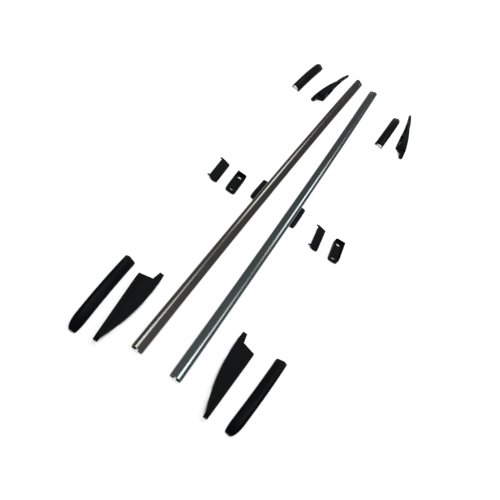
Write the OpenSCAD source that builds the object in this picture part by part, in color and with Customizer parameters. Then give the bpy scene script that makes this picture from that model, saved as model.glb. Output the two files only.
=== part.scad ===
// Roof side rail pair, laid out as a kit: two arched rails with their middle feet fixed on,
// and beside them the loose end feet, end covers, middle bases and middle covers.
// +Y runs from the front ends of the rails to their rear ends, +X is to the right and +Z is up.

/* [Rails] */
// Length of each rail, straight between the lower edges of its ends
rail_len = 1760; // [1400:10:2100]
// Width of the rail's section
rail_w = 38; // [34:1:46]
// Height of the rail's section
rail_h = 22; // [20:1:28]
// Wall of the rail
rail_wall = 2.4; // [2:0.1:3]
// Width of the slot along the rail's underside
slot_w = 10; // [8:1:12]
// Radius that each rail is bent to
bend_r = 18700; // [15000:100:26000]
// Lean of the bend outward from upright, in degrees
bend_lean = 13; // [0:1:16]
// Bore for the fixing screw at each rail's rear end
fixing_d = 7; // [5:0.5:8]

/* [End feet] */
// Length of a front foot's plate, from its tail to its inner end
front_len = 247; // [200:1:320]
// Height of a front foot at its inner end
front_h = 69; // [58:1:90]
// Radius of the crest of a front foot, seen from its side
front_crest_r = 650; // [560:10:900]
// Length of a rear foot's plate, from its tail to its inner end
rear_len = 256; // [220:1:320]
// Height of a rear foot at its inner end
rear_h = 45; // [42:1:70]
// Radius of the crest of a rear foot, seen from its side
rear_crest_r = 740; // [620:10:900]
// Length of a rear foot's tail that bends down
droop_len = 140; // [80:5:145]
// Width of an end foot's plate
plate_w = 44; // [40:1:50]
// Thickness of an end foot's plate
plate_t = 5; // [4:0.5:7]
// Wall of an end foot
web_wall = 3; // [2.5:0.5:4]
// Length of the tenon that enters the rail
tenon_len = 34; // [24:1:44]
// Bore for a roof bolt
bolt_d = 8.4; // [6.4:0.1:10.4]

/* [End covers] */
// Length of a front cover
front_cover_len = 285; // [240:5:340]
// Length of a rear cover
rear_cover_len = 255; // [200:5:300]
// Wall of a cover
cover_wall = 2.5; // [2:0.5:4]

/* [Middle feet] */
// Length of a middle foot
mid_len = 100; // [90:1:130]
// Width that a middle foot stands out past the rail
mid_out = 19; // [16:1:30]
// Length of a middle base
base_len = 104; // [96:1:120]
// Width of a middle base
base_w = 40; // [36:1:46]
// Height of a middle base
base_h = 16; // [12:1:20]
// Spacing of the two roof bolts of a middle foot
bolt_gap = 72; // [64:1:80]
// Length of a middle cover
cap_len = 108; // [100:1:124]
// Height of a middle cover along its open side
cap_h = 20; // [16:1:26]
// Height of a middle cover along its closed side
cap_low_h = 9; // [6:1:14]

/* [Layout] */
// Distance between the middles of the two rails
rail_gap = 112.5; // [100:1:160]
// Angle of each rail to the line midway between them, in degrees
splay = 0.83; // [0:0.01:1.5]

/* [Hidden] */

// Running clearance between pieces that fit into one another
fit = 0.3;
// Overshoot of a cut past the face that it opens
over = 1;

// The layout's own zero, seen from the frame's origin
origin = [25.14, -28.68];

// Each loose piece: the middle of its length on the floor, and its turn about the vertical
front_left_foot_at = [-165, -789];
front_left_foot_turn = 6.8;
front_right_foot_at = [182, -779];
front_right_foot_turn = -3.6;
rear_left_foot_at = [-145, 701];
rear_left_foot_turn = -1.8;
rear_right_foot_at = [297, 746];
rear_right_foot_turn = 3.4;
front_left_cover_at = [-255, -805];
front_left_cover_turn = 2.9;
front_right_cover_at = [299, -774];
front_right_cover_turn = -5.4;
rear_left_cover_at = [-246, 674];
rear_left_cover_turn = -3.2;
rear_right_cover_at = [207, 701];
rear_right_cover_turn = -1.8;
left_base_at = [-173, -133];
left_base_turn = 3.4;
right_base_at = [282, -106];
right_base_turn = 7.8;
left_cap_at = [-250, -134];
left_cap_turn = 3.5;
right_cap_at = [198, -112];
right_cap_turn = 6.8;
// Middle of each middle foot, measured along its rail from the rail's own middle
mid_foot_at = -92;

// Corners of the rail's section, outer side first, and the radius of each
section = [[-rail_w / 2, 0], [rail_w / 2, 0], [rail_w / 2, rail_h / 2], [-rail_w * 0.16, rail_h + 1.2],
    [-rail_w / 2, rail_h * 0.8]];
section_radii = [3.2, 3.2, 5, 10, 6];

// Rise of the bend in its own plane, and how far that lifts the rail's middle off the floor
bend_half = asin(rail_len / 2 / bend_r);
bend_rise = bend_r * (1 - cos(bend_half));
seat_lift = bend_rise * cos(bend_lean);

// Slide nut and screw
nut_w = 24;
nut_t = 6;
nut_l = 32;
screw_d = 6;
nut_gap = 0.6;
screw_gap = 68;
head_d = 13;
head_h = 4;

// Middle foot
mid_in = 14;
mid_wall = 3;
mid_corner = 8;
cradle_h = 6;
cradle_t = 4;
boss_wall = 3;
sleeve_wall = 1.5;

// End foot, common to the front and the rear
web_inset = cover_wall + 2 * fit;
crest_cut = 4;
web_w = rail_w - 2 * web_inset;
web_past = 8;
taper_r = 20;
inner_r = 16;
skirt_h = 20;
droop_r = 600;
well_d = 17;
bolt_pad = 9;
rib_t = 2.5;
tenon_w = 26;
rib_drop = 6;
seal_t = 1.5;
seal_rim = 5;
seal_edge = 1;

// Shape of a foot, read by name: length and height, crest radius and its slope at the inner end in degrees,
// height of the tail, where the web starts, length that droops, width of the tail and length over which it
// tapers, places of the bolts and of the ribs, and the corner of its crest on which it lies
LEN = 0;
HIGH = 1;
CREST = 2;
SLOPE = 3;
TAIL = 4;
WEB_FROM = 5;
DROOP = 6;
TAIL_W = 7;
TAPER = 8;
BOLTS = 9;
RIBS = 10;
LIES_ON = 11;
front = [front_len, front_h, front_crest_r, 1.3, 14, 15, 0, 26, 50, [70, 205], [42, 105, 138, 171, 234], 2];
rear = [rear_len, rear_h, rear_crest_r, 4.2, 6, 62, droop_len, 12, 140, [152, 230], [125, 178, 204], 5];

function web_end(k) = k[LEN] + web_past;
function crest_mid(k) = [web_end(k) + k[CREST] * sin(k[SLOPE]), k[HIGH] - k[CREST] * cos(k[SLOPE])];
function rail_floor(k) = k[HIGH] + cover_wall - rail_h;
function drop(k) = k[DROOP] * k[DROOP] / droop_r + over;

// Corner geometry of a convex outline, given counterclockwise
function unit(v) = v / norm(v);
function sides(points, i) = let(n = len(points), p = points[i])
    [unit(points[(i + n - 1) % n] - p), unit(points[(i + 1) % n] - p)];
function inside(points, i, d) = let(s = sides(points, i))
    points[i] + unit(s[0] + s[1]) * d / sqrt((1 - s[0] * s[1]) / 2);
function reach(points, i, r) = let(s = sides(points, i), c = s[0] * s[1])
    r * sqrt((1 + c) / (1 - c));

// Convex outline with a true arc at each corner, drawn in from its edges by inset
module rounded(points, radii, inset = 0) {
    last = len(points) - 1;
    inner = [for (i = [0:last]) inside(points, i, inset)];
    r = [for (i = [0:last]) max(radii[i] - inset, 0.6)];
    polygon([for (i = [0:last]) let(s = sides(inner, i), t = reach(inner, i, r[i]))
        each [inner[i] + s[0] * t, inner[i] + s[1] * t]]);
    for (i = [0:last]) translate(inside(inner, i, r[i])) circle(r[i], $fn = 64);
}

function box_corners(low, high) = [low, [high.x, low.y], high, [low.x, high.y]];

// Sweep of a section along an arc that rises in its middle. An even number of steps keeps the top.
module arched(radius, span, steps) {
    a = 2 * asin(span / 2 / radius);
    translate([0, 0, -radius * cos(a / 2)])
        rotate([0, -90, 0]) rotate([0, 0, -a / 2])
            rotate_extrude(angle = a, $fn = floor(steps * 360 / a))
                translate([radius, 0]) rotate(-90) children();
}

// Side view, drawn as [along, up], given its width across
module across(w) {
    translate([w / 2, 0, 0]) rotate([0, 0, 90]) rotate([90, 0, 0]) mirror([0, 0, 1])
        linear_extrude(w) children();
}

module in_layout() {
    translate([-origin.x, -origin.y, 0]) children();
}

// side is -1 for the left rail and 1 for the right one
module at_rail(side) {
    in_layout() translate([side * rail_gap / 2, 0, 0]) rotate([0, 0, side * splay])
        mirror([side > 0 ? 1 : 0, 0, 0]) children();
}

module at(place, turn) {
    in_layout() translate([place.x, place.y, 0]) rotate([0, 0, turn]) children();
}

// Rails

module rail_section() {
    difference() {
        rounded(section, section_radii);
        rounded(section, section_radii, rail_wall);
        translate([-slot_w / 2, -over]) square([slot_w, rail_wall + 2 * over]);
    }
}

module rail() {
    difference() {
        rotate([0, -bend_lean, 0]) arched(bend_r, rail_len, 2) rotate(-bend_lean) rail_section();
        translate([rail_w * 0.18, rail_len / 2 - 20, rail_h * 0.5]) rotate([0, 20, 0])
            cylinder(h = rail_h, d = fixing_d, $fn = 48);
    }
}

module left_rail() {
    color("dimgray") at_rail(-1) rail();
}

module right_rail() {
    color("dimgray") at_rail(1) rail();
}

// Middle feet. The rail's middle stands out by the lean of its bend.

module at_mid_foot(side) {
    at_rail(side) translate([-bend_rise * sin(bend_lean), mid_foot_at, 0]) children();
}

foot_top = seat_lift - bend_r * (1 - cos(asin((abs(mid_foot_at) + mid_len / 2) / bend_r)));
foot_out = rail_w / 2 + mid_out;
bolt_x = -rail_w / 2 - mid_out / 2;

module foot_plan(inset) {
    rounded(box_corners([-foot_out, -mid_len / 2], [mid_in, mid_len / 2]), [mid_corner, 4, 4, mid_corner], inset);
}

module mid_foot() {
    difference() {
        union() {
            linear_extrude(foot_top) foot_plan(0);
            translate([-rail_w / 2 - fit - cradle_t, -mid_len / 2 + mid_corner, foot_top - over])
                cube([cradle_t, mid_len - 2 * mid_corner, cradle_h + over]);
        }
        difference() {
            translate([0, 0, -over]) linear_extrude(foot_top - mid_wall + over) foot_plan(mid_wall);
            for (y = [-1, 1]) {
                translate([bolt_x, y * bolt_gap / 2, 0])
                    cylinder(h = foot_top, d = bolt_d + 2 * sleeve_wall + 2 * boss_wall, $fn = 64);
                translate([0, y * screw_gap / 2, 0])
                    cylinder(h = foot_top, d = head_d + 1 + 2 * boss_wall, $fn = 64);
            }
            for (y = [-1, 0, 1]) translate([-foot_out, y * mid_len / 6 - rib_t / 2, 0])
                cube([foot_out + mid_in, rib_t, foot_top]);
        }
        for (y = [-1, 1]) {
            translate([bolt_x, y * bolt_gap / 2, -over])
                cylinder(h = foot_top + 2 * over, d = bolt_d + 2 * sleeve_wall, $fn = 64);
            translate([0, y * screw_gap / 2, -over])
                cylinder(h = foot_top + 2 * over, d = screw_d + 0.6, $fn = 48);
            translate([0, y * screw_gap / 2, -over])
                cylinder(h = foot_top - mid_wall - 2 + over, d = head_d + 1, $fn = 64);
        }
    }
}

module left_mid_foot() {
    color("#202226") at_mid_foot(-1) mid_foot();
}

module right_mid_foot() {
    color("#202226") at_mid_foot(1) mid_foot();
}

module slide_nuts() {
    color("silver") for (side = [-1, 1]) at_mid_foot(side) for (y = [-1, 1])
        translate([-nut_w / 2, y * screw_gap / 2 - nut_l / 2, foot_top + rail_wall + nut_gap])
            difference() {
                cube([nut_w, nut_l, nut_t]);
                translate([nut_w / 2, nut_l / 2, -over]) cylinder(h = nut_t + 2 * over, d = screw_d, $fn = 48);
            }
}

module foot_screws() {
    head_z = foot_top - mid_wall - 2 - head_h;
    color("silver") for (side = [-1, 1]) at_mid_foot(side) for (y = [-1, 1])
        translate([0, y * screw_gap / 2, head_z]) difference() {
            union() {
                cylinder(h = head_h, d = head_d, $fn = 64);
                cylinder(h = head_h + mid_wall + 2 + rail_wall + nut_gap + nut_t, d = screw_d, $fn = 48);
            }
            translate([0, 0, -over]) cylinder(h = head_h / 2 + over, d = 5.8, $fn = 6);
        }
}

module sleeve(h) {
    difference() {
        cylinder(h = h, d = bolt_d + 2 * sleeve_wall, $fn = 64);
        translate([0, 0, -over]) cylinder(h = h + 2 * over, d = bolt_d, $fn = 64);
    }
}

module foot_sleeves() {
    color("silver") for (side = [-1, 1]) at_mid_foot(side) for (y = [-1, 1])
        translate([bolt_x, y * bolt_gap / 2, 0]) sleeve(foot_top);
}

// Middle bases: a hollow pad with two slotted bosses and a lip along one edge

base_wall = 2.5;
slot_l = 16;
lip_w = 4;
lip_h = 3;

module base_plan(inset) {
    rounded(box_corners([-base_w / 2, -base_len / 2], [base_w / 2, base_len / 2]), [9, 9, 1.2, 9], inset);
}

module slot_shape(grow) {
    r = bolt_d / 2 + grow;
    translate([-slot_l / 2 + bolt_d / 2, -r]) square([slot_l - bolt_d, 2 * r]);
    for (x = [-1, 1]) translate([x * (slot_l - bolt_d) / 2, 0]) circle(r, $fn = 64);
}

module mid_base() {
    difference() {
        union() {
            linear_extrude(base_h) base_plan(0);
            translate([base_w / 2 - lip_w, -base_len / 2 + 12, base_h - over])
                cube([lip_w, base_len - 12, lip_h + over]);
        }
        difference() {
            translate([0, 0, -over]) linear_extrude(base_h - base_wall + over) base_plan(base_wall);
            for (y = [-1, 1]) translate([0, y * bolt_gap / 2, 0]) linear_extrude(base_h) slot_shape(base_wall);
            for (y = [-1, 0, 1]) translate([-base_w / 2, y * bolt_gap / 4 - rib_t / 2, 0])
                cube([base_w, rib_t, base_h]);
            translate([-rib_t / 2, -bolt_gap / 2 + slot_l / 2, 0]) cube([rib_t, bolt_gap - slot_l, base_h]);
        }
        for (y = [-1, 1]) translate([0, y * bolt_gap / 2, -over])
            linear_extrude(base_h + 2 * over) slot_shape(0);
    }
}

module mid_seal() {
    linear_extrude(seal_t) difference() {
        base_plan(0.5);
        base_plan(seal_rim);
    }
}

module left_mid_base() {
    color("#202226") at(left_base_at, left_base_turn) translate([0, 0, seal_t]) mid_base();
}

module right_mid_base() {
    color("#202226") at(right_base_at, right_base_turn) translate([0, 0, seal_t]) mid_base();
}

module left_mid_seal() {
    color("#101112") at(left_base_at, left_base_turn) mid_seal();
}

module right_mid_seal() {
    color("#101112") at(right_base_at, right_base_turn) mid_seal();
}

// Middle covers: a cap open below and along one long side, with a prong at each open corner

cap_w = 36;
cap_edge = 5;
prong_l = 4;
prong_w = 5;
prong_h = 8;

module cap_plan(inset) {
    rounded(box_corners([-cap_w / 2, -cap_len / 2], [cap_w / 2, cap_len / 2]), [1.5, 8, 4, 1.5], inset);
}

// End view: it falls away from the open side to the closed one
module cap_fall(inset) {
    view = [[-cap_w / 2 - over, -cap_low_h], [cap_w / 2 + over, -cap_low_h], [cap_w / 2 + over, cap_low_h - cap_edge],
        [cap_w / 2 - cap_edge, cap_low_h + cap_edge / 3], [-cap_w / 2 - over, cap_h]];
    translate([0, cap_len / 2 + over, 0]) rotate([90, 0, 0]) linear_extrude(cap_len + 2 * over)
        polygon([for (i = [0:len(view) - 1]) inside(view, i, inset)]);
}

module mid_cover() {
    difference() {
        union() {
            intersection() {
                linear_extrude(cap_h) cap_plan(0);
                cap_fall(0);
            }
            for (y = [-1, 1]) translate([-cap_w / 2 - prong_l, y * (cap_len - prong_w) / 2 - prong_w / 2, 0])
                cube([prong_l + prong_w, prong_w, prong_h]);
        }
        intersection() {
            translate([0, 0, -over]) linear_extrude(cap_h + over) cap_plan(cover_wall);
            cap_fall(cover_wall);
        }
        translate([-cap_w / 2 - over, -cap_len / 2 + prong_w, -over])
            cube([cover_wall + 2 * over, cap_len - 2 * prong_w, cap_h - cover_wall + over]);
    }
}

module left_mid_cover() {
    color("#202226") at(left_cap_at, left_cap_turn) mid_cover();
}

module right_mid_cover() {
    color("#202226") at(right_cap_at, right_cap_turn) mid_cover();
}

// End feet, drawn as fitted: tail at zero, inner end along +Y, roof face at z = 0

// Side view of the web. Drawn in by inset it is the hollow, which opens at the roof face.
module side_view(k, inset) {
    tail = k[DROOP] > 0 && inset == 0 ? [[k[WEB_FROM], -drop(k)], [k[DROOP], -drop(k)], [k[DROOP], 0]]
        : [[k[WEB_FROM] + inset, inset > 0 ? -drop(k) : 0]];
    intersection() {
        polygon(concat(tail, [[k[LEN] - inset, tail[len(tail) - 1].y], [k[LEN] - inset, plate_t],
            [web_end(k) - inset, rail_floor(k) - web_past], [web_end(k) - inset, k[HIGH] + over],
            [k[WEB_FROM] + inset, k[HIGH] + over]]));
        translate(crest_mid(k)) circle(k[CREST] - inset, $fn = 256);
    }
}

// The crest fills the inside of the cover, which has the rail's section. Its corners are cut, not rounded.
crest_view = [section[0], section[1], section[2], section[3] + crest_cut * unit(section[2] - section[3]),
    section[3] + crest_cut * unit(section[4] - section[3]), section[4]];
function crest_corner(i, inset) = inside(crest_view, i, web_inset + inset) - [0, i < 2 ? 2 * front_h : 0];

module crest_sweep(k, inset) {
    translate([0, crest_mid(k).x, crest_mid(k).y]) rotate([0, -90, 0]) rotate([0, 0, -28])
        rotate_extrude(angle = 30, $fn = 192) translate([k[CREST], 0]) rotate(-90)
            translate([0, cover_wall - rail_h]) polygon([for (i = [0:5]) crest_corner(i, inset)]);
}

module web(k, inset) {
    intersection() {
        across(web_w + 2) side_view(k, inset);
        crest_sweep(k, inset);
    }
}

module plate_plan(k, inset) {
    end_w = k[TAIL_W] / 2;
    end_r = end_w - 1;
    rounded([[-end_w, 0], [end_w, 0], [plate_w / 2, k[TAPER]], [plate_w / 2, k[LEN]], [-plate_w / 2, k[LEN]],
        [-plate_w / 2, k[TAPER]]], [end_r, end_r, taper_r, inner_r, inner_r, taper_r], inset);
}

// Side view of a layer between two heights over the roof, bent down where the tail droops
module layer(k, low, high) {
    translate([k[DROOP], low]) square([k[LEN] - k[DROOP], high - low]);
    if (k[DROOP] > 0) intersection() {
        translate([0, -k[DROOP]]) square([k[DROOP], 2 * k[DROOP]]);
        translate([k[DROOP], -droop_r]) difference() {
            circle(droop_r + high, $fn = 360);
            circle(droop_r + low, $fn = 360);
        }
    }
}

module skirt(k) {
    intersection() {
        translate([0, 0, -drop(k)]) linear_extrude(skirt_h + drop(k)) plate_plan(k, 0);
        rotate([90, 0, 0]) mirror([0, 0, 1]) linear_extrude(k[LEN])
            polygon([[-plate_w / 2, -drop(k)], [plate_w / 2, -drop(k)], [plate_w / 2, plate_t],
                [web_w / 2, skirt_h], [-web_w / 2, skirt_h], [-plate_w / 2, plate_t]]);
        across(plate_w + 2) union() {
            layer(k, 0, k[TAIL]);
            polygon([[k[DROOP], 0], [k[LEN], 0], [k[LEN], skirt_h], [k[LEN] - web_past, skirt_h],
                [max(k[DROOP], k[WEB_FROM]) + over, k[TAIL]], [k[DROOP], k[TAIL]]]);
        }
    }
}

module wells(k) {
    for (y = k[BOLTS]) translate([0, y, 0]) children();
}

module tenon(k) {
    start = web_end(k) - over;
    end = web_end(k) + tenon_len;
    bottom = rail_floor(k) + rail_wall + fit;
    translate([0, start, rail_floor(k)]) rotate([90, 0, 0]) mirror([0, 0, 1]) linear_extrude(end - start)
        intersection() {
            rounded(section, section_radii, rail_wall + fit);
            translate([-tenon_w / 2, 0]) square([tenon_w, rail_h]);
        }
    across(slot_w - 2 * fit) polygon([[start, rail_floor(k) - rib_drop], [start + over, rail_floor(k) - rib_drop],
        [end, bottom], [end, bottom + over], [start, bottom + over]]);
}

module end_foot(k) {
    difference() {
        union() {
            web(k, 0);
            skirt(k);
            tenon(k);
        }
        if (k[DROOP] > 0) across(plate_w + 2) translate([k[DROOP], -droop_r]) circle(droop_r, $fn = 360);
        difference() {
            web(k, web_wall);
            wells(k) cylinder(h = k[HIGH], d = well_d + 2 * web_wall, $fn = 64);
            for (y = k[RIBS]) translate([-web_w / 2, y - rib_t / 2, plate_t]) cube([web_w, rib_t, k[HIGH]]);
        }
        wells(k) {
            translate([0, 0, -over]) cylinder(h = bolt_pad + 2 * over, d = bolt_d + 2 * sleeve_wall, $fn = 64);
            translate([0, 0, bolt_pad]) cylinder(h = k[HIGH], d = well_d, $fn = 64);
        }
    }
}

// Plan of the flat part of the underside
module flat_plan(k, inset) {
    start = k[DROOP] > 0 ? k[DROOP] + inset : -over;
    intersection() {
        plate_plan(k, inset);
        translate([-plate_w, start]) square([2 * plate_w, k[LEN]]);
    }
}

module foot_seal(k) {
    translate([0, 0, -seal_t]) linear_extrude(seal_t) difference() {
        flat_plan(k, seal_edge);
        flat_plan(k, seal_edge + seal_rim);
    }
}

// Turn and lift of a foot that lies on its side, on the edge of its plate and a corner of its crest
function lie_turn(k) = let(c = crest_corner(k[LIES_ON], 0))
    atan2(plate_w / 2 - abs(c.x), k[HIGH] + cover_wall - rail_h + c.y - plate_t);
function lie_lift(k) = plate_w / 2 * cos(lie_turn(k)) - (k[HIGH] / 2 - plate_t) * sin(lie_turn(k));

// Lays a foot on its side with its crest towards crest_side, its tail towards the near end
module lying(k, crest_side) {
    translate([0, 0, lie_lift(k)]) rotate([0, crest_side * (90 + lie_turn(k)), 0])
        translate([0, -(web_end(k) + tenon_len) / 2, -k[HIGH] / 2]) children();
}

module front_left() {
    at(front_left_foot_at, front_left_foot_turn) lying(front, 1) children();
}

module front_right() {
    at(front_right_foot_at, front_right_foot_turn) lying(front, -1) mirror([1, 0, 0]) children();
}

module rear_left() {
    at(rear_left_foot_at, 180 + rear_left_foot_turn) lying(rear, 1) mirror([1, 0, 0]) children();
}

module rear_right() {
    at(rear_right_foot_at, 180 + rear_right_foot_turn) lying(rear, -1) children();
}

module front_left_foot() {
    color("#1d2024") front_left() end_foot(front);
}

module front_right_foot() {
    color("#1d2024") front_right() end_foot(front);
}

module rear_left_foot() {
    color("#1d2024") rear_left() end_foot(rear);
}

module rear_right_foot() {
    color("#1d2024") rear_right() end_foot(rear);
}

module front_left_seal() {
    color("#101112") front_left() foot_seal(front);
}

module front_right_seal() {
    color("#101112") front_right() foot_seal(front);
}

module rear_left_seal() {
    color("#101112") rear_left() foot_seal(rear);
}

module rear_right_seal() {
    color("#101112") rear_right() foot_seal(rear);
}

module bolt_sleeves(k) {
    wells(k) sleeve(bolt_pad);
}

module base_sleeves() {
    color("silver") {
        front_left() bolt_sleeves(front);
        front_right() bolt_sleeves(front);
        rear_left() bolt_sleeves(rear);
        rear_right() bolt_sleeves(rear);
    }
}

// End covers: the rail's section as an open channel, bent to the crest of the foot and closed at its tip.
// Rings of points run from the open end to the tip, and each ring runs over the section from leg to leg.

nose_l = 44;
nose_pinch = [0.72, 0.35];
nose_drop = 0.55;
body_rings = 8;
nose_rings = 7;
corner_steps = 4;

function normal_angle(p, q) = atan2(p.x - q.x, q.y - p.y);
function corner_arc(i, inset) =
    let(n = len(section), c = inside(section, i, section_radii[i]), r = section_radii[i] - inset,
        a = normal_angle(section[i - 1], section[i]), b = normal_angle(section[i], section[(i + 1) % n]),
        turn = (b - a + 360) % 360)
    [for (k = [0:corner_steps]) c + r * [cos(a + turn * k / corner_steps), sin(a + turn * k / corner_steps)]];
function channel(inset) = [[rail_w / 2 - inset, 0], each corner_arc(2, inset), each corner_arc(3, inset),
    each corner_arc(4, inset), [-rail_w / 2 + inset, 0]];

// How far the nose has closed, from 0 where it starts to 1 at the tip
function closing(t) = 1 - sqrt(1 - min(t, 0.985) * min(t, 0.985));
function pinched(p, t) = [p.x * (1 - nose_pinch[p.x < 0 ? 0 : 1] * closing(t)),
    p.y * (1 - nose_drop * closing(t))];
function on_arc(p, y, length, leg_r) = let(a = asin(y / leg_r))
    [p.x, (leg_r + p.y) * sin(a), (leg_r + p.y) * cos(a) - leg_r * cos(asin(length / 2 / leg_r))];
function stations(length, inset) = [
    for (k = [0:body_rings - 1]) [length / 2 - (length - nose_l) * k / body_rings, 0],
    for (k = [0:nose_rings]) let(t = sin(90 * k / nose_rings))
        [-length / 2 + nose_l - (nose_l - inset) * t, t]];
function skin(length, leg_r, inset) = [for (s = stations(length, inset))
    [for (p = channel(inset)) on_arc(pinched(p, s[1]), s[0], length, leg_r)]];

module end_cover(length, crest_r) {
    leg_r = crest_r + cover_wall - rail_h;
    outer = skin(length, leg_r, 0);
    inner = skin(length, leg_r, cover_wall);
    n = len(outer[0]);
    rings = len(outer);
    half = n * rings;
    at_outer = function(i, j) i * n + j;
    at_inner = function(i, j) half + i * n + j;
    last = rings - 1;
    end = n - 1;
    polyhedron([for (ring = outer) each ring, for (ring = inner) each ring], concat(
        [for (i = [0:last - 1], j = [0:end - 1]) each
            [[at_outer(i, j), at_outer(i + 1, j), at_outer(i + 1, j + 1)],
             [at_outer(i, j), at_outer(i + 1, j + 1), at_outer(i, j + 1)],
             [at_inner(i, j), at_inner(i, j + 1), at_inner(i + 1, j + 1)],
             [at_inner(i, j), at_inner(i + 1, j + 1), at_inner(i + 1, j)]]],
        [for (i = [0:last - 1]) each
            [[at_outer(i, 0), at_inner(i, 0), at_inner(i + 1, 0), at_outer(i + 1, 0)],
             [at_outer(i, end), at_outer(i + 1, end), at_inner(i + 1, end), at_inner(i, end)]]],
        [for (j = [0:end - 1]) [at_outer(0, j), at_outer(0, j + 1), at_inner(0, j + 1), at_inner(0, j)]],
        [[for (j = [end:-1:0]) at_outer(last, j)], [for (j = [0:end]) at_inner(last, j)],
         [at_outer(last, 0), at_inner(last, 0), at_inner(last, end), at_outer(last, end)]]));
}

module front_left_cover() {
    color("#16181b") at(front_left_cover_at, front_left_cover_turn) end_cover(front_cover_len, front_crest_r);
}

module front_right_cover() {
    color("#16181b") at(front_right_cover_at, front_right_cover_turn) mirror([1, 0, 0])
        end_cover(front_cover_len, front_crest_r);
}

module rear_left_cover() {
    color("#16181b") at(rear_left_cover_at, rear_left_cover_turn) mirror([0, 1, 0]) end_cover(rear_cover_len, rear_crest_r);
}

module rear_right_cover() {
    color("#16181b") at(rear_right_cover_at, rear_right_cover_turn) rotate([0, 0, 180])
        end_cover(rear_cover_len, rear_crest_r);
}

left_rail();
right_rail();
left_mid_foot();
right_mid_foot();
slide_nuts();
foot_screws();
foot_sleeves();
base_sleeves();
left_mid_base();
right_mid_base();
left_mid_seal();
right_mid_seal();
left_mid_cover();
right_mid_cover();
front_left_foot();
front_right_foot();
rear_left_foot();
rear_right_foot();
front_left_seal();
front_right_seal();
rear_left_seal();
rear_right_seal();
front_left_cover();
front_right_cover();
rear_left_cover();
rear_right_cover();
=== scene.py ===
import math

import bmesh
import bpy
from bpy.props import FloatProperty, FloatVectorProperty, PointerProperty
from mathutils import Matrix, Vector


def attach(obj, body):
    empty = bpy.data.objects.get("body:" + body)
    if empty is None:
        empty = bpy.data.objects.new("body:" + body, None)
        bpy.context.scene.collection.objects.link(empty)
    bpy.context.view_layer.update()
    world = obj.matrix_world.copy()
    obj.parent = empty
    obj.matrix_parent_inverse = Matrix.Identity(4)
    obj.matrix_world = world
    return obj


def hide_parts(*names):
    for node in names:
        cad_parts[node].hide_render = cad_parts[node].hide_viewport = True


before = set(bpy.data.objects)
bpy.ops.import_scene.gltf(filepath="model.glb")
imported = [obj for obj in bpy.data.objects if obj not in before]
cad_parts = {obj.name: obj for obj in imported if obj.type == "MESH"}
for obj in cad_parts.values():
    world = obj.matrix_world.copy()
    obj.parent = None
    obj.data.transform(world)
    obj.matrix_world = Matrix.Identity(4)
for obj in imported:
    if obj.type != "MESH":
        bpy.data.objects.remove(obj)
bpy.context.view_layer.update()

bl_info = {
    "name": "Roof side rail pair",
    "version": (1, 0, 0),
    "blender": (4, 2, 0),
    "location": "3D View > Sidebar > Roof rails",
    "description": "Finishes a pair of arched roof side rails and their loose feet, bases and covers",
    "category": "Object",
}

MM = 0.001

# The layout: the zero that its plan was drawn from, the distance between the rails' middles, and how far each
# rail turns from the line midway between them
LAYOUT_ZERO = Vector((25.14, -28.68, 0)) * MM
RAIL_GAP = 112.5 * MM
SPLAY = math.radians(0.83)

# The rails' sizes, as the CAD has them
RAIL_LENGTH = 1760 * MM
RAIL_WIDTH = 38 * MM
RAIL_HEIGHT = 22 * MM
RAIL_WALL = 2.4 * MM
RAIL_SLOT = 10 * MM
RIDGE_SHIFT = 0.16 * RAIL_WIDTH
RIDGE_RISE = 1.2 * MM
SHOULDER_HEIGHT = 0.8 * RAIL_HEIGHT
RAIL_CORNERS = (  # (across, up, radius), from the ridge round by the outer side
    (-RIDGE_SHIFT, RAIL_HEIGHT + RIDGE_RISE, 10 * MM),
    (-RAIL_WIDTH / 2, SHOULDER_HEIGHT, 6 * MM),
    (-RAIL_WIDTH / 2, 0, 3.2 * MM),
    (RAIL_WIDTH / 2, 0, 3.2 * MM),
    (RAIL_WIDTH / 2, RAIL_HEIGHT / 2, 5 * MM),
)
BEND_RADIUS = 18700 * MM
BEND_LEAN = math.radians(13)
BEND_TURN = 2 * math.asin(RAIL_LENGTH / 2 / BEND_RADIUS)
FIXING_BORE = 7 * MM
FIXING_ACROSS = 0.18 * RAIL_WIDTH
FIXING_FROM_END = 20 * MM
FIXING_LEAN = math.radians(20)

# The middle bases' sizes. A corner is (side across, side along, radius).
BASE_WIDTH = 40 * MM
BASE_LENGTH = 104 * MM
BASE_HEIGHT = 16 * MM
BASE_WALL = 2.5 * MM
BASE_FLOOR = 2 * MM
BASE_CORNERS = ((-1, -1, 9 * MM), (1, -1, 9 * MM), (1, 1, 1.2 * MM), (-1, 1, 9 * MM))
SEAL_THICKNESS = 1.5 * MM
LIP_HEIGHT = 3 * MM
LIP_FROM_END = 12 * MM
BOLT_SPACING = 72 * MM
SLOT_LENGTH = 16 * MM
SLOT_WIDTH = 8.4 * MM

# The middle covers' sizes. The cut is the part of their end walls that is taken away below the prongs.
CAP_WIDTH = 36 * MM
CAP_LENGTH = 108 * MM
CAP_HEIGHT = 19.7 * MM
CAP_LOW_HEIGHT = 9.2 * MM
CAP_WALL = 2.5 * MM
CAP_SHOULDER = 4.5 * MM
CAP_CORNERS = ((1, -1, 8 * MM),)
PLAN_HEIGHT = 4 * CAP_HEIGHT  # of the block that trims a cover to its plan, past its top and bottom
CUT_HEIGHT = 13 * MM
CUT_TAPER = 0.98 * CAP_WIDTH / 2
PRONG_LENGTH = 8 * MM
PRONG_WIDTH = 4 * MM
PRONG_HEIGHT = 5 * MM
PRONG_DROP = 1.5 * MM
PRONG_INSET = 0.1 * MM

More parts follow.
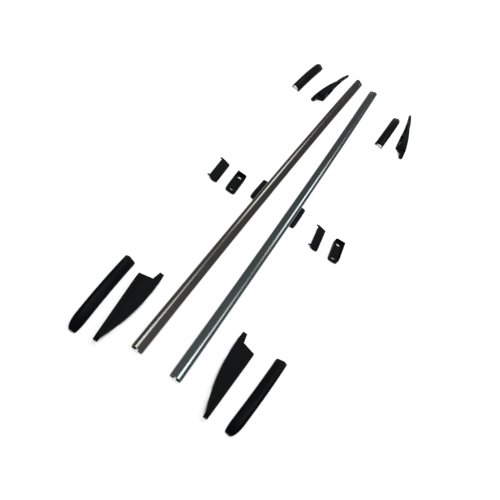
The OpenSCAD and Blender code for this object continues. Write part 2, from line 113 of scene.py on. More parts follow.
# The place and turn of each piece in the layout
RAIL_PLACES = {
    "left": (Vector((-RAIL_GAP / 2, 0, 0)), -SPLAY),
    "right": (Vector((RAIL_GAP / 2, 0, 0)), SPLAY),
}
BASE_PLACES = {
    "left": (Vector((-173, -133, 0)) * MM, math.radians(3.4)),
    "right": (Vector((282, -106, 0)) * MM, math.radians(7.8)),
}
CAP_PLACES = {
    "left": (Vector((-250, -134, 0)) * MM, math.radians(3.5)),
    "right": (Vector((198, -112, 0)) * MM, math.radians(6.8)),
}

# How finely round shapes are drawn
BEND_STEPS = 72
CIRCLE_STEPS = 48
SECTION_STEPS = 8
CORNER_STEPS = 6
SHOULDER_STEPS = 4
EDGE_STEPS = 2

# Two places nearer than TOUCH are one. In a copy of a CAD mesh, vertices nearer than CAD_TOUCH are merged, and
# so are faces within CAD_FLAT of one plane. A face whose normal has more than FACING along an axis faces that
# way. The end walls' cutter stands OVER past what it cuts. Edges sharper than these angles are rounded.
TOUCH = 0.01 * MM
CAD_TOUCH = 0.02 * MM
CAD_FLAT = math.radians(0.4)
FACING = 0.9
OVER = 1 * MM
SHARP_DEGREES = 32
RAIL_SHARP_DEGREES = 40
SHELL_SHARP_DEGREES = 50

# How far a remodelled piece's box may be off its CAD node's. The middle covers' prongs stand out further.
BOX_MATCH = 1 * MM
CAP_BOX_MATCH = 5 * MM

SIDES = ("left", "right")
QUARTERS = [f"{end}_{side}" for end in ("front", "rear") for side in SIDES]


def linear(hex_colour):
    """Linear values of an sRGB colour written as #rrggbb."""
    values = [int(hex_colour[i:i + 2], 16) / 255 for i in (1, 3, 5)]
    return [v / 12.92 if v <= 0.04045 else ((v + 0.055) / 1.055) ** 2.4 for v in values]


def colour_property(name, description, hex_colour):
    """A colour that a user can change."""
    return FloatVectorProperty(name=name, description=description, default=linear(hex_colour),
                               size=3, min=0, max=1, subtype="COLOR")


def length_property(name, description, mm, low, high):
    """A length that a user can change, given in millimetres with its limits."""
    return FloatProperty(name=name, description=description, default=mm * MM, min=low * MM, max=high * MM,
                         subtype="DISTANCE", unit="LENGTH", precision=5)


class RailKitColours(bpy.types.PropertyGroup):
    # The rails are one anodised aluminium. The left is tinted warm and the right cool and lighter as painted
    # light, standing in for the different light on each rail.
    left_rail: colour_property("Left rail", "Anodised skin of the left rail", "#706e6a")
    right_rail: colour_property("Right rail", "Anodised skin of the right rail", "#7c8485")
    # The feet's black is tinted blue as a painted cold sheen.
    foot: colour_property("Feet", "Glass-filled nylon of the feet, bases and middle covers", "#090c10")
    cover: colour_property("End covers", "Grained ABS of the end covers", "#08090b")
    seal: colour_property("Seals", "Foam rubber of the seals", "#0c0c0d")
    zinc: colour_property("Fixings", "Black zinc plate of the nuts, screws and sleeves", "#2b2c2e")
    floor: colour_property("Floor", "Paper that the kit lies on", "#f4f4f4")


class RailKitSizes(bpy.types.PropertyGroup):
    rail_edge: length_property("Rail edge", "Rounding of a rail's sawn ends", 0.35, 0.1, 1)
    moulded_edge: length_property("Moulded edge", "Rounding of the feet's and end covers' edges", 0.6, 0.2, 1.2)
    base_edge: length_property("Base edge", "Rounding of the middle bases' and covers' edges", 0.4, 0.1, 0.8)
    steel_edge: length_property("Steel edge", "Rounding of the steel pieces' edges", 0.3, 0.1, 0.8)
    seal_edge: length_property("Seal edge", "Rounding of the seals' cut edges", 0.25, 0.1, 0.5)
    # Die lines, grain and cells are finer on the real pieces. They are drawn as coarse as they need to show.
    die_line: length_property("Die lines", "Spacing of the lines that the die leaves along a rail", 2.2, 0.5, 6)
    grain: length_property("Moulded grain", "Spacing of the end covers' moulded grain", 1.6, 0.5, 4)
    cell: length_property("Foam cell", "Width of a cell of the foam rubber", 1.2, 0.5, 3)


# Selection

def only(piece):
    """Selects one piece and makes it the active one."""
    bpy.ops.object.select_all(action="DESELECT")
    piece.select_set(True)
    bpy.context.view_layer.objects.active = piece


def edit(piece, mode="VERT"):
    """Opens a piece in edit mode with nothing selected."""
    only(piece)
    bpy.ops.object.mode_set(mode="EDIT")
    bpy.ops.mesh.select_mode(type=mode)
    bpy.ops.mesh.select_all(action="DESELECT")


def select_faces(piece, wanted):
    """Selects the faces whose centre and normal pass a test."""
    mesh = bmesh.from_edit_mesh(piece.data)
    for face in mesh.faces:
        face.select_set(wanted(face.calc_center_median(), face.normal))
    mesh.select_flush_mode()
    bmesh.update_edit_mesh(piece.data)


def select_edges(piece, wanted):
    """Selects the edges of which both ends pass a test."""
    mesh = bmesh.from_edit_mesh(piece.data)
    for edge in mesh.edges:
        edge.select_set(all(wanted(vertex.co) for vertex in edge.verts))
    bmesh.update_edit_mesh(piece.data)


def select_vertices(piece, wanted):
    """Selects the vertices whose place passes a test."""
    mesh = bmesh.from_edit_mesh(piece.data)
    for vertex in mesh.verts:
        vertex.select_set(wanted(vertex.co))
    bmesh.update_edit_mesh(piece.data)


def select_nearest(piece, place):
    """Selects only the vertex that is nearest to a place."""
    bpy.ops.mesh.select_all(action="DESELECT")
    mesh = bmesh.from_edit_mesh(piece.data)
    min(mesh.verts, key=lambda vertex: (vertex.co - place).length).select_set(True)
    bmesh.update_edit_mesh(piece.data)


# Shaping

def block(size, centre):
    """A cube at its size and place, for shaping or as a cutter."""
    bpy.ops.object.select_all(action="DESELECT")
    bpy.ops.mesh.primitive_cube_add(size=1, location=centre)
    piece = bpy.context.object
    piece.scale = size
    bpy.ops.object.transform_apply(location=True, rotation=True, scale=True)
    return piece


def move(piece, matrix):
    """Moves a piece by a matrix and takes the move into its mesh."""
    only(piece)
    piece.matrix_world = matrix
    bpy.ops.object.transform_apply(location=True, rotation=True, scale=True)


def apply_modifiers(piece):
    """Applies all of a piece's modifiers, in order."""
    only(piece)
    for modifier in list(piece.modifiers):
        bpy.ops.object.modifier_apply(modifier=modifier.name)


def carve(piece, tool, operation):
    """Joins a tool to a piece, cuts it out or keeps what both share, and takes the tool away."""
    boolean = piece.modifiers.new("Carve", "BOOLEAN")
    boolean.object = tool
    boolean.operation = operation
    apply_modifiers(piece)
    bpy.data.objects.remove(tool)


def round_corners(piece, width, length, corners):
    """Rounds a block's upright edges, each by its own radius."""
    for x, y, radius in corners:
        corner = Vector((x * width / 2, y * length / 2))
        edit(piece, "EDGE")
        select_edges(piece, lambda place: (place.xy - corner).length < TOUCH)
        bpy.ops.mesh.bevel(affect="EDGES", offset=radius, segments=CORNER_STEPS)
        bpy.ops.object.mode_set(mode="OBJECT")


def lay(piece, place_and_turn, mirrored):
    """Takes a piece to its place in the layout, mirrored left to right if it has to be."""
    place, turn = place_and_turn
    move(piece, Matrix.Translation(place - LAYOUT_ZERO) @ Matrix.Rotation(turn, 4, "Z")
         @ Matrix.Scale(-1 if mirrored else 1, 4, (1, 0, 0)))
    edit(piece)
    bpy.ops.mesh.select_all(action="SELECT")
    bpy.ops.mesh.normals_make_consistent(inside=False)
    bpy.ops.object.mode_set(mode="OBJECT")


def soften(piece, width, degrees=SHARP_DEGREES):
    """Rounds a piece's edges that are sharper than an angle, and shades the rest smoothly."""
    bevel = piece.modifiers.new("Rounded edges", "BEVEL")
    bevel.width = width
    bevel.segments = EDGE_STEPS
    bevel.limit_method = "ANGLE"
    bevel.angle_limit = math.radians(degrees)
    bevel.miter_outer = "MITER_ARC"
    apply_modifiers(piece)
    bpy.ops.object.shade_smooth_by_angle(angle=math.radians(degrees))


def stands_for(piece, node, within=BOX_MATCH):
    """Puts a piece in its CAD node's place, once its box is the node's to within a distance."""
    boxes = []
    for thing in (piece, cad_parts[node]):
        points = [thing.matrix_world @ vertex.co for vertex in thing.data.vertices]
        boxes.append([pick(point[axis] for point in points) for pick in (min, max) for axis in range(3)])
    gap = max(abs(a - b) for a, b in zip(*boxes))
    if gap > within:
        raise RuntimeError(f"{piece.name} is {gap / MM:.2f} mm off {node}: {boxes}")
    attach(piece, "root")
    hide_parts(node)


def finished_copy(node, name, width, degrees=SHARP_DEGREES):
    """A merged copy of a CAD node with its edges rounded, which stands for the node."""
    only(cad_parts[node])
    bpy.ops.object.duplicate()
    piece = bpy.context.view_layer.objects.active
    piece.name = piece.data.name = name
    bpy.ops.mesh.customdata_custom_splitnormals_clear()
    bpy.ops.object.mode_set(mode="EDIT")
    bpy.ops.mesh.select_all(action="SELECT")
    bpy.ops.mesh.remove_doubles(threshold=CAD_TOUCH)
    bpy.ops.mesh.dissolve_limited(angle_limit=CAD_FLAT)
    bpy.ops.object.mode_set(mode="OBJECT")
    soften(piece, width, degrees)
    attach(piece, "root")
    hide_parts(node)
    return piece


# The rails

def rail_section():
    """The rail's section at its middle, upright in XZ: a pentagon rounded, inset by the wall and slotted
    below."""
    bpy.ops.object.select_all(action="DESELECT")
    bpy.ops.mesh.primitive_circle_add(vertices=len(RAIL_CORNERS), radius=RAIL_WIDTH / 2, fill_type="NGON",
                                      rotation=(math.pi / 2, 0, 0))
    piece = bpy.context.object
    bpy.ops.object.transform_apply(location=True, rotation=True, scale=True)
    starts = [vertex.co.copy() for vertex in piece.data.vertices]
    corners = [Vector((across, 0, up)) for across, up, _ in RAIL_CORNERS]
    radii = [radius for *_, radius in RAIL_CORNERS]
    edit(piece)
    for start, corner in zip(starts, corners):
        select_nearest(piece, start)
        bpy.ops.transform.translate(value=corner - start)
    for i, (corner, radius) in enumerate(zip(corners, radii)):
        before, after = corners[i - 1] - corner, corners[(i + 1) % len(corners)] - corner
        select_nearest(piece, corner)
        bpy.ops.mesh.bevel(affect="VERTICES", offset=radius / math.tan(before.angle(after) / 2),
                           segments=SECTION_STEPS)
    bpy.ops.mesh.select_all(action="SELECT")
    bpy.ops.mesh.inset(thickness=RAIL_WALL, use_even_offset=True)
    bpy.ops.mesh.delete(type="FACE")
    for x in (-RAIL_SLOT / 2, RAIL_SLOT / 2):
        bpy.ops.mesh.select_all(action="SELECT")
        bpy.ops.mesh.bisect(plane_co=(x, 0, 0), plane_no=(1, 0, 0))
    bpy.ops.mesh.select_mode(type="FACE")
    select_faces(piece, lambda centre, normal: abs(centre.x) < RAIL_SLOT / 2 and centre.z < RAIL_WALL)
    bpy.ops.mesh.delete(type="FACE")
    bpy.ops.object.mode_set(mode="OBJECT")
    return piece


def fixing_drill():
    """A cutter for the leaning bore near a rail's rear end."""
    start = Vector((FIXING_ACROSS, RAIL_LENGTH / 2 - FIXING_FROM_END, RAIL_HEIGHT / 2))
    middle = start + Matrix.Rotation(FIXING_LEAN, 3, "Y") @ Vector((0, 0, RAIL_HEIGHT / 2))
    bpy.ops.object.select_all(action="DESELECT")
    bpy.ops.mesh.primitive_cylinder_add(vertices=CIRCLE_STEPS, radius=FIXING_BORE / 2, depth=RAIL_HEIGHT,
                                        location=middle, rotation=(0, FIXING_LEAN, 0))
    return bpy.context.object


def bent_rail(side, name, edge):
    """A rail made by spinning its section about the far-off centre of its bend, then bored and placed."""
    piece = rail_section()
    piece.name = piece.data.name = name
    upward = Vector((-math.sin(BEND_LEAN), 0, math.cos(BEND_LEAN)))
    across = Vector((math.cos(BEND_LEAN), 0, math.sin(BEND_LEAN)))
    centre = -BEND_RADIUS * math.cos(BEND_TURN / 2) * upward
    rise = BEND_RADIUS * (1 - math.cos(BEND_TURN / 2)) * upward
    move(piece, Matrix.Translation(centre) @ Matrix.Rotation(BEND_TURN / 2, 4, across)
         @ Matrix.Translation(rise - centre))
    edit(piece, "FACE")
    bpy.ops.mesh.select_all(action="SELECT")
    bpy.ops.mesh.spin(steps=BEND_STEPS, angle=BEND_TURN, center=centre, axis=across)
    bpy.ops.mesh.select_all(action="SELECT")
    bpy.ops.mesh.remove_doubles(threshold=TOUCH)
    bpy.ops.mesh.normals_make_consistent(inside=False)
    bpy.ops.object.mode_set(mode="OBJECT")
    carve(piece, fixing_drill(), "DIFFERENCE")
    lay(piece, RAIL_PLACES[side], side == "right")
    soften(piece, edge, RAIL_SHARP_DEGREES)
    weighted = piece.modifiers.new("Flat faces stay flat", "WEIGHTED_NORMAL")
    weighted.keep_sharp = True
    apply_modifiers(piece)
    stands_for(piece, f"{side}_rail")
    return piece


# The middle bases and covers

def slot_pillar(y, top):
    """A cutter with a slot's plan: a cylinder whose two halves are drawn apart."""
    bpy.ops.object.select_all(action="DESELECT")
    bpy.ops.mesh.primitive_cylinder_add(vertices=CIRCLE_STEPS, radius=SLOT_WIDTH / 2, depth=top,
                                        location=(0, y, top / 2))
    piece = bpy.context.object
    bpy.ops.object.transform_apply(location=True, rotation=True, scale=True)
    for way in (-1, 1):
        edit(piece)
        select_vertices(piece, lambda place: place.x * way > TOUCH)
        bpy.ops.transform.translate(value=(way * (SLOT_LENGTH - SLOT_WIDTH) / 2, 0, 0))
        bpy.ops.object.mode_set(mode="OBJECT")
    return piece


def tray_base(side, name, edge):
    """A middle base: a block rounded at its corners, hollowed from above, lipped along one edge and slotted.
    It stands on its seal."""
    low, high = SEAL_THICKNESS, SEAL_THICKNESS + BASE_HEIGHT
    lip_across, lip_along = BASE_WIDTH / 2 - BASE_WALL, LIP_FROM_END - BASE_LENGTH / 2
    piece = block((BASE_WIDTH, BASE_LENGTH, BASE_HEIGHT), (0, 0, (low + high) / 2))
    piece.name = piece.data.name = name
    round_corners(piece, BASE_WIDTH, BASE_LENGTH, BASE_CORNERS)
    edit(piece, "FACE")
    select_faces(piece, lambda centre, normal: normal.z > FACING)
    bpy.ops.mesh.inset(thickness=BASE_WALL, use_even_offset=True)
    bpy.ops.mesh.extrude_region_move(TRANSFORM_OT_translate={"value": (0, 0, BASE_FLOOR - BASE_HEIGHT)})
    bpy.ops.mesh.select_all(action="SELECT")
    bpy.ops.mesh.bisect(plane_co=(0, lip_along, 0), plane_no=(0, 1, 0))
    select_faces(piece, lambda centre, normal: normal.z > FACING and centre.z > high - BASE_WALL
                 and centre.x > lip_across and centre.y > lip_along)
    bpy.ops.mesh.extrude_region_move(TRANSFORM_OT_translate={"value": (0, 0, LIP_HEIGHT)})
    bpy.ops.object.mode_set(mode="OBJECT")
    for y in (-BOLT_SPACING / 2, BOLT_SPACING / 2):
        carve(piece, slot_pillar(y, high), "DIFFERENCE")
    lay(piece, BASE_PLACES[side], side == "left")
    soften(piece, edge)
    stands_for(piece, f"{side}_mid_base")
    return piece


def cap_prong(way):
    """A prong: a bar from inside the front (-1) or rear (1) end wall to past the open side."""
    across = (PRONG_WIDTH - PRONG_LENGTH - CAP_WIDTH) / 2
    along = way * ((CAP_LENGTH - PRONG_WIDTH) / 2 - PRONG_INSET)
    up = CAP_HEIGHT - PRONG_HEIGHT / 2 - PRONG_DROP
    return block((PRONG_LENGTH + PRONG_WIDTH, PRONG_WIDTH, PRONG_HEIGHT), (across, along, up))


def end_wall_cutter():
    """A cutter for both end walls below the prongs: a block whose top is drawn in towards the open side."""
    width = CAP_WIDTH / 2 + OVER
    piece = block((width, CAP_LENGTH + 2 * OVER, CUT_HEIGHT + OVER), (-width / 2, 0, (CUT_HEIGHT - OVER) / 2))
    edit(piece)
    select_vertices(piece, lambda place: place.x > -OVER and place.z > 0)
    bpy.ops.transform.translate(value=(-CUT_TAPER, 0, 0))
    bpy.ops.object.mode_set(mode="OBJECT")
    return piece


def middle_cap(side, name, edge):
    """A middle cover: a block that slopes to its closed side, rounded in plan, opened below and along its high
    side, given its wall and a prong at each end of the open side's top, with its end walls cut back below."""
    piece = block((CAP_WIDTH, CAP_LENGTH, CAP_HEIGHT), (0, 0, CAP_HEIGHT / 2))
    piece.name = piece.data.name = name
    edit(piece, "EDGE")
    select_edges(piece, lambda place: place.x > 0 and place.z > 0)
    bpy.ops.transform.translate(value=(0, 0, CAP_LOW_HEIGHT - CAP_HEIGHT))
    bpy.ops.mesh.bevel(affect="EDGES", offset=CAP_SHOULDER, segments=SHOULDER_STEPS)
    bpy.ops.object.mode_set(mode="OBJECT")
    plan = block((CAP_WIDTH, CAP_LENGTH, PLAN_HEIGHT), (0, 0, 0))
    round_corners(plan, CAP_WIDTH, CAP_LENGTH, CAP_CORNERS)
    carve(piece, plan, "INTERSECT")
    edit(piece, "FACE")
    select_faces(piece, lambda centre, normal: normal.z < -FACING or normal.x < -FACING)
    bpy.ops.mesh.delete(type="FACE")
    bpy.ops.object.mode_set(mode="OBJECT")
    wall = piece.modifiers.new("Wall", "SOLIDIFY")
    wall.thickness = CAP_WALL
    wall.offset = -1
    wall.use_even_offset = True
    apply_modifiers(piece)
    for way in (-1, 1):
        carve(piece, cap_prong(way), "UNION")
    carve(piece, end_wall_cutter(), "DIFFERENCE")
    lay(piece, CAP_PLACES[side], False)
    soften(piece, edge)
    stands_for(piece, f"{side}_mid_cover", CAP_BOX_MATCH)
    return piece


# Materials. The patterns that vary slowly have as many marks in a metre as these say.

DIE_LINE_BREAKS = 0.6  # along the rail
RAIL_CLOUDS = 7
NYLON_FLOWS = 14
ABS_HAZE = 20
ZINC_MOTTLES = 260
PAPER_TOOTH = 400
FIBRE_GRAINS = 2  # the spacing of the nylon's fibres, in grains of the end covers
BLACK_SPECULAR = 0.055  # low, as the black mouldings of the photograph hardly mirror the room
PLASTIC_IOR = 1.5


def feed(tree, node, inputs):
    """Gives a shader node's inputs, each named by its identifier or place, a value or a link."""
    named = {socket.identifier: socket for socket in node.inputs}
    for name, value in inputs.items():
        socket = node.inputs[name] if isinstance(name, int) else named[name]
        if isinstance(value, bpy.types.NodeSocket):
            tree.links.new(value, socket)
        else:
            socket.default_value = value


def add(tree, kind, inputs=None, **settings):
    """Adds a shader node with its settings, and feeds its inputs."""
    node = tree.nodes.new("ShaderNode" + kind)
    for key, value in settings.items():
        setattr(node, key, value)
    feed(tree, node, inputs or {})
    return node


def start_material(name):
    """A new material, with its node tree, its shader and its Object coordinates."""
    material = bpy.data.materials.new(name)
    material.use_nodes = True
    tree = material.node_tree
    return material, tree, tree.nodes["Principled BSDF"], add(tree, "TexCoord").outputs["Object"]


def varied(tree, colour, pattern, least, most):
    """A colour that a pattern varies, from its least to its most share of the colour's own strength."""
    shades = [[min(1, c * share) for c in colour] + [1] for share in (least, most)]
    mix = add(tree, "Mix", {"Factor_Float": pattern, "A_Color": shades[0], "B_Color": shades[1]},
              data_type="RGBA")
    return next(socket for socket in mix.outputs if socket.identifier == "Result_Color")


def put_on(material, slot, *pieces):
    """Gives pieces a material. The slot is not used."""
    for piece in pieces:
        piece.data.materials.clear()
        piece.data.materials.append(material)


def anodised_aluminium(name, colour, turn, sizes):
    """Extruded and satin anodised: it mirrors lamps as a soft band along the crest, drawn out along the rail.
    The turn takes the die lines to the rail's own direction."""
    material, tree, shader, place = start_material(name)
    along = add(tree, "Mapping", {"Vector": place, "Rotation": (0, 0, turn),
                                  "Scale": (1 / sizes.die_line, DIE_LINE_BREAKS, 1 / sizes.die_line)})
    lines = add(tree, "TexNoise", {"Vector": along.outputs["Vector"], "Scale": 1, "Detail": 3,
                                   "Roughness": 0.6})
    clouds = add(tree, "TexNoise", {"Vector": place, "Scale": RAIL_CLOUDS, "Detail": 2})
    rough = add(tree, "MapRange", {"Value": clouds.outputs["Fac"], "To Min": 0.17, "To Max": 0.25})
    bump = add(tree, "Bump", {"Height": lines.outputs["Fac"], "Strength": 0.05, "Distance": 0.03 * MM})
    feed(tree, shader, {"Base Color": varied(tree, colour, lines.outputs["Fac"], least=0.86, most=1.12),
                        "Roughness": rough.outputs["Result"], "Normal": bump.outputs["Normal"], "Metallic": 1})
    return material


def glass_filled_nylon(name, colour, sizes):
    """Injection moulded: a dull black, mottled where the glass fibres lie near the skin. The colour's blue tint
    is a painted cold sheen.
    """
    material, tree, shader, place = start_material(name)
    fibres = add(tree, "TexNoise", {"Vector": place, "Scale": 1 / (FIBRE_GRAINS * sizes.grain), "Detail": 4,
                                    "Roughness": 0.7})
    flow = add(tree, "TexNoise", {"Vector": place, "Scale": NYLON_FLOWS, "Detail": 2, "Distortion": 0.6})
    rough = add(tree, "MapRange", {"Value": fibres.outputs["Fac"], "To Min": 0.5, "To Max": 0.66})
    bump = add(tree, "Bump", {"Height": fibres.outputs["Fac"], "Strength": 0.25, "Distance": 0.12 * MM})
    feed(tree, shader, {"Base Color": varied(tree, colour, flow.outputs["Fac"], least=0.8, most=1.35),
                        "Roughness": rough.outputs["Result"], "Normal": bump.outputs["Normal"],
                        "IOR": PLASTIC_IOR, "Specular IOR Level": BLACK_SPECULAR})
    return material


def grained_abs(name, colour, sizes):
    """Moulded against a spark-eroded tool: an even fine grain that spreads highlights into a faint streak."""
    material, tree, shader, place = start_material(name)
    pits = add(tree, "TexVoronoi", {"Vector": place, "Scale": 1 / sizes.grain})
    haze = add(tree, "TexNoise", {"Vector": place, "Scale": ABS_HAZE, "Detail": 2})
    rough = add(tree, "MapRange", {"Value": haze.outputs["Fac"], "To Min": 0.31, "To Max": 0.41})
    bump = add(tree, "Bump", {"Height": pits.outputs["Distance"], "Strength": 0.3, "Distance": 0.1 * MM})
    feed(tree, shader, {"Base Color": varied(tree, colour, haze.outputs["Fac"], least=0.85, most=1.25),
                        "Roughness": rough.outputs["Result"], "Normal": bump.outputs["Normal"],
                        "IOR": PLASTIC_IOR, "Specular IOR Level": BLACK_SPECULAR})
    return material


def foam_rubber(name, colour, sizes):
    """Die-cut closed-cell foam: dead black with open cells at its cut faces."""
    material, tree, shader, place = start_material(name)
    cells = add(tree, "TexVoronoi", {"Vector": place, "Scale": 1 / sizes.cell}, feature="SMOOTH_F1")
    bump = add(tree, "Bump", {"Height": cells.outputs["Distance"], "Strength": 0.5, "Distance": 0.25 * MM})
    feed(tree, shader, {"Base Color": varied(tree, colour, cells.outputs["Distance"], least=1.4, most=0.5),
                        "Normal": bump.outputs["Normal"], "Roughness": 0.9, "Specular IOR Level": 0.2})
    return material


def black_zinc(name, colour):
    """Barrel-plated and blackened steel: a dark metal sheen, with a fine mottle from the tumbling."""
    material, tree, shader, place = start_material(name)
    mottle = add(tree, "TexNoise", {"Vector": place, "Scale": ZINC_MOTTLES, "Detail": 3})
    rough = add(tree, "MapRange", {"Value": mottle.outputs["Fac"], "To Min": 0.22, "To Max": 0.42})
    feed(tree, shader, {"Base Color": varied(tree, colour, mottle.outputs["Fac"], least=0.8, most=1.1),
                        "Roughness": rough.outputs["Result"], "Metallic": 1})
    return material


# Pieces

class RAILKIT_OT_rails(bpy.types.Operator):
    """Finish the two anodised rails, with their sawn ends broken"""
    bl_idname = "railkit.rails"
    bl_label = "Rails"

    def execute(self, context):
        sizes, colours = context.scene.railkit_sizes, context.scene.railkit_colours
        # Each rail gets its own copy of the aluminium, in its side's tint of painted light.
        for side, colour in (("left", colours.left_rail), ("right", colours.right_rail)):
            turn = RAIL_PLACES[side][1]
            piece = bent_rail(side, f"{side}_rail_extrusion", sizes.rail_edge)
            put_on(anodised_aluminium(f"Satin anodised aluminium {side}", colour, -turn, sizes), "rail", piece)
        return {"FINISHED"}


class RAILKIT_OT_feet(bpy.types.Operator):
    """Finish the end feet and the middle feet, bases and covers, all moulded in glass-filled nylon"""
    bl_idname = "railkit.feet"
    bl_label = "Feet, bases and middle covers"

    def execute(self, context):
        sizes, colours = context.scene.railkit_sizes, context.scene.railkit_colours
        nylon = glass_filled_nylon("Glass-filled nylon", colours.foot, sizes)
        for node in [f"{quarter}_foot" for quarter in QUARTERS] + [f"{side}_mid_foot" for side in SIDES]:
            put_on(nylon, "foot", finished_copy(node, f"{node}_moulding", sizes.moulded_edge))
        for side in SIDES:
            put_on(nylon, "foot", tray_base(side, f"{side}_mid_base_tray", sizes.base_edge),
                   middle_cap(side, f"{side}_mid_cover_cap", sizes.base_edge))
        return {"FINISHED"}


class RAILKIT_OT_covers(bpy.types.Operator):
    """Finish the end covers, moulded in grained ABS"""
    bl_idname = "railkit.covers"
    bl_label = "End covers"

    def execute(self, context):
        sizes, colours = context.scene.railkit_sizes, context.scene.railkit_colours
        abs_skin = grained_abs("Grained ABS", colours.cover, sizes)
        for quarter in QUARTERS:
            shell = finished_copy(f"{quarter}_cover", f"{quarter}_cover_shell", sizes.moulded_edge,
                                  SHELL_SHARP_DEGREES)
            put_on(abs_skin, "cover", shell)
        return {"FINISHED"}


class RAILKIT_OT_seals(bpy.types.Operator):
    """Finish the foam rubber seals under the feet and bases"""
    bl_idname = "railkit.seals"
    bl_label = "Seals"

    def execute(self, context):
        sizes, colours = context.scene.railkit_sizes, context.scene.railkit_colours
        foam = foam_rubber("Foam rubber", colours.seal, sizes)
        for node in [f"{quarter}_seal" for quarter in QUARTERS] + [f"{side}_mid_seal" for side in SIDES]:
            put_on(foam, "seal", finished_copy(node, f"{node}_gasket", sizes.seal_edge))
        return {"FINISHED"}


class RAILKIT_OT_fixings(bpy.types.Operator):
    """Finish the blackened slide nuts, screws and sleeves"""
    bl_idname = "railkit.fixings"
    bl_label = "Fixings"

    def execute(self, context):
        sizes, colours = context.scene.railkit_sizes, context.scene.railkit_colours
        zinc = black_zinc("Black zinc plated steel", colours.zinc)
        for node in ("slide_nuts", "foot_screws", "foot_sleeves", "base_sleeves"):
            put_on(zinc, "steel", finished_copy(node, f"{node}_plated", sizes.steel_edge))
        return {"FINISHED"}


# Stage

CAMERA_AT = (-5.45 * MM, -1425.62 * MM, 1464.55 * MM)
CAMERA_DOWN = math.radians(52.739)
CAMERA_ROLL = math.radians(36.841)
LENS_MM = 37.715
SENSOR_MM = 36
SIGHT = 200  # in metres, past the paper's far edge
PAPER_RADIUS = 40
PAPER_STEPS = 96
CLOSED_IN = 22 * MM  # how near a piece has to close over the paper to make it dark
LAMP_HEIGHT = 2.4
LAMPS = {  # name: (west, east, south, north edge in metres, radiance)
    "near_lamp": (-1.6, 1.6, -0.42, 0.13, 5.5),
    "near_right_lamp": (-0.05, 1.4, 0.15, 0.8, 3.2),
    "far_lamp": (-1.1, 1.1, 1.65, 3.1, 4.8),
}


def area_lamp(name, west, east, south, north, radiance):
    """A rectangular lamp that looks straight down, as bright all over as its radiance says."""
    bpy.ops.object.light_add(type="AREA", location=((west + east) / 2, (south + north) / 2, LAMP_HEIGHT))
    lamp = bpy.context.object
    lamp.name = name
    lamp.data.shape = "RECTANGLE"
    lamp.data.size, lamp.data.size_y = east - west, north - south
    lamp.data.energy = radiance * math.pi * (east - west) * (north - south)


def plain_world():
    """White where it is seen straight. As a light it is white at the horizon, dim above it so that black
    mouldings stay black, and a little lighter overhead."""
    world = bpy.data.worlds.new("Studio")
    bpy.context.scene.world = world
    world.use_nodes = True
    tree = world.node_tree
    up = add(tree, "SeparateXYZ", {"Vector": add(tree, "TexCoord").outputs["Generated"]}).outputs["Z"]
    walls = add(tree, "MapRange", {"Value": up, "From Min": 0.05, "From Max": 0.2, "To Min": 1, "To Max": 0.17},
                interpolation_type="SMOOTHSTEP")
    ceiling = add(tree, "MapRange", {"Value": up, "From Min": 0.4, "From Max": 0.85, "To Min": 1, "To Max": 2})
    light = add(tree, "Math", {0: walls.outputs["Result"], 1: ceiling.outputs["Result"]}, operation="MULTIPLY")
    straight = add(tree, "LightPath").outputs["Is Camera Ray"]
    level = add(tree, "Math", {0: light.outputs[0], 1: straight}, operation="MAXIMUM")
    feed(tree, tree.nodes["Background"], {"Strength": level.outputs[0], "Color": (1, 1, 1, 1)})


def white_paper(name, colour):
    """Matt white paper. Seen straight or in a reflection it is lifted to white, keeps part of its shadows, and
    is dark where a piece closes over it, as inside the ends of the rails."""
    material, tree, shader, place = start_material(name)
    tooth = add(tree, "TexNoise", {"Vector": place, "Scale": PAPER_TOOTH})
    feed(tree, shader, {"Base Color": varied(tree, colour, tooth.outputs["Fac"], least=0.98, most=1),
                        "Roughness": 0.9, "Specular IOR Level": 0.1})
    rays = add(tree, "LightPath").outputs
    seen = add(tree, "Math", {0: rays["Is Camera Ray"], 1: rays["Is Glossy Ray"]}, operation="MAXIMUM")
    seen = add(tree, "Math", {0: seen.outputs[0], 1: rays["Is Transmission Ray"]}, operation="MAXIMUM")
    dim = add(tree, "BsdfDiffuse", {"Color": (0.4, 0.4, 0.4, 1)})
    opening = add(tree, "AmbientOcclusion", {"Distance": CLOSED_IN}, samples=16)
    lift = add(tree, "MapRange", {"Value": opening.outputs["AO"], "From Min": 0.42, "From Max": 0.62,
                                  "To Min": 0.01, "To Max": 0.75})
    glow = add(tree, "Emission", {"Color": (1, 1, 1, 1), "Strength": lift.outputs["Result"]})
    lifted = add(tree, "AddShader", {0: dim.outputs[0], 1: glow.outputs[0]})
    skin = add(tree, "MixShader", {0: seen.outputs[0], 1: shader.outputs[0], 2: lifted.outputs[0]})
    feed(tree, tree.nodes["Material Output"], {"Surface": skin.outputs[0]})
    return material


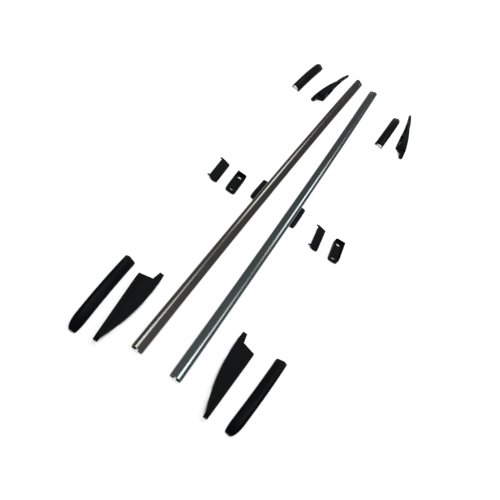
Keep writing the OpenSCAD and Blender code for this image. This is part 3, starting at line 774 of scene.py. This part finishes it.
def photo_camera():
    """The camera at the photograph's place, looking down and rolled as it was."""
    bpy.ops.object.camera_add(location=CAMERA_AT)
    camera = bpy.context.object
    camera.name = "photo_camera"
    across = Vector((1, 0, 0))
    upward = Vector((0, math.sin(CAMERA_DOWN), math.cos(CAMERA_DOWN)))
    ahead = Vector((0, math.cos(CAMERA_DOWN), -math.sin(CAMERA_DOWN)))
    right = math.cos(CAMERA_ROLL) * across + math.sin(CAMERA_ROLL) * upward
    up = math.cos(CAMERA_ROLL) * upward - math.sin(CAMERA_ROLL) * across
    camera.matrix_world = Matrix.Translation(CAMERA_AT) @ Matrix((right, up, -ahead)).transposed().to_4x4()
    camera.data.lens = LENS_MM
    camera.data.sensor_width = SENSOR_MM
    camera.data.clip_end = SIGHT
    bpy.context.scene.camera = camera


class RAILKIT_OT_stage(bpy.types.Operator):
    """Lay the white paper, and place the lamps and the camera"""
    bl_idname = "railkit.stage"
    bl_label = "Stage"

    def execute(self, context):
        bpy.ops.object.select_all(action="DESELECT")
        bpy.ops.mesh.primitive_circle_add(vertices=PAPER_STEPS, radius=PAPER_RADIUS, fill_type="NGON",
                                          location=(0, 0, 0))
        floor = context.object
        floor.name = "paper_floor"
        floor.data.materials.append(white_paper("White paper", context.scene.railkit_colours.floor))
        for name, lamp in LAMPS.items():
            area_lamp(name, *lamp)
        plain_world()
        photo_camera()
        context.scene.view_settings.view_transform = "Standard"
        return {"FINISHED"}


OPERATORS = (RAILKIT_OT_rails, RAILKIT_OT_feet, RAILKIT_OT_covers, RAILKIT_OT_seals, RAILKIT_OT_fixings,
             RAILKIT_OT_stage)


class RAILKIT_PT_panel(bpy.types.Panel):
    """Sizes, colours and steps of the roof side rail pair"""
    bl_idname = "RAILKIT_PT_panel"
    bl_label = "Roof side rail pair"
    bl_space_type = "VIEW_3D"
    bl_region_type = "UI"
    bl_category = "Roof rails"

    def draw(self, context):
        for group in (context.scene.railkit_sizes, context.scene.railkit_colours):
            for name in group.__annotations__:
                self.layout.prop(group, name)
        for operator in OPERATORS:
            self.layout.operator(operator.bl_idname)


CLASSES = (RailKitColours, RailKitSizes, *OPERATORS, RAILKIT_PT_panel)


def register():
    for cls in CLASSES:
        bpy.utils.register_class(cls)
    bpy.types.Scene.railkit_sizes = PointerProperty(type=RailKitSizes)
    bpy.types.Scene.railkit_colours = PointerProperty(type=RailKitColours)


def unregister():
    del bpy.types.Scene.railkit_colours
    del bpy.types.Scene.railkit_sizes
    for cls in reversed(CLASSES):
        bpy.utils.unregister_class(cls)


def main():
    register()
    for operator in OPERATORS:
        group, name = operator.bl_idname.split(".")
        getattr(getattr(bpy.ops, group), name)()


if __name__ == "__main__":
    main()
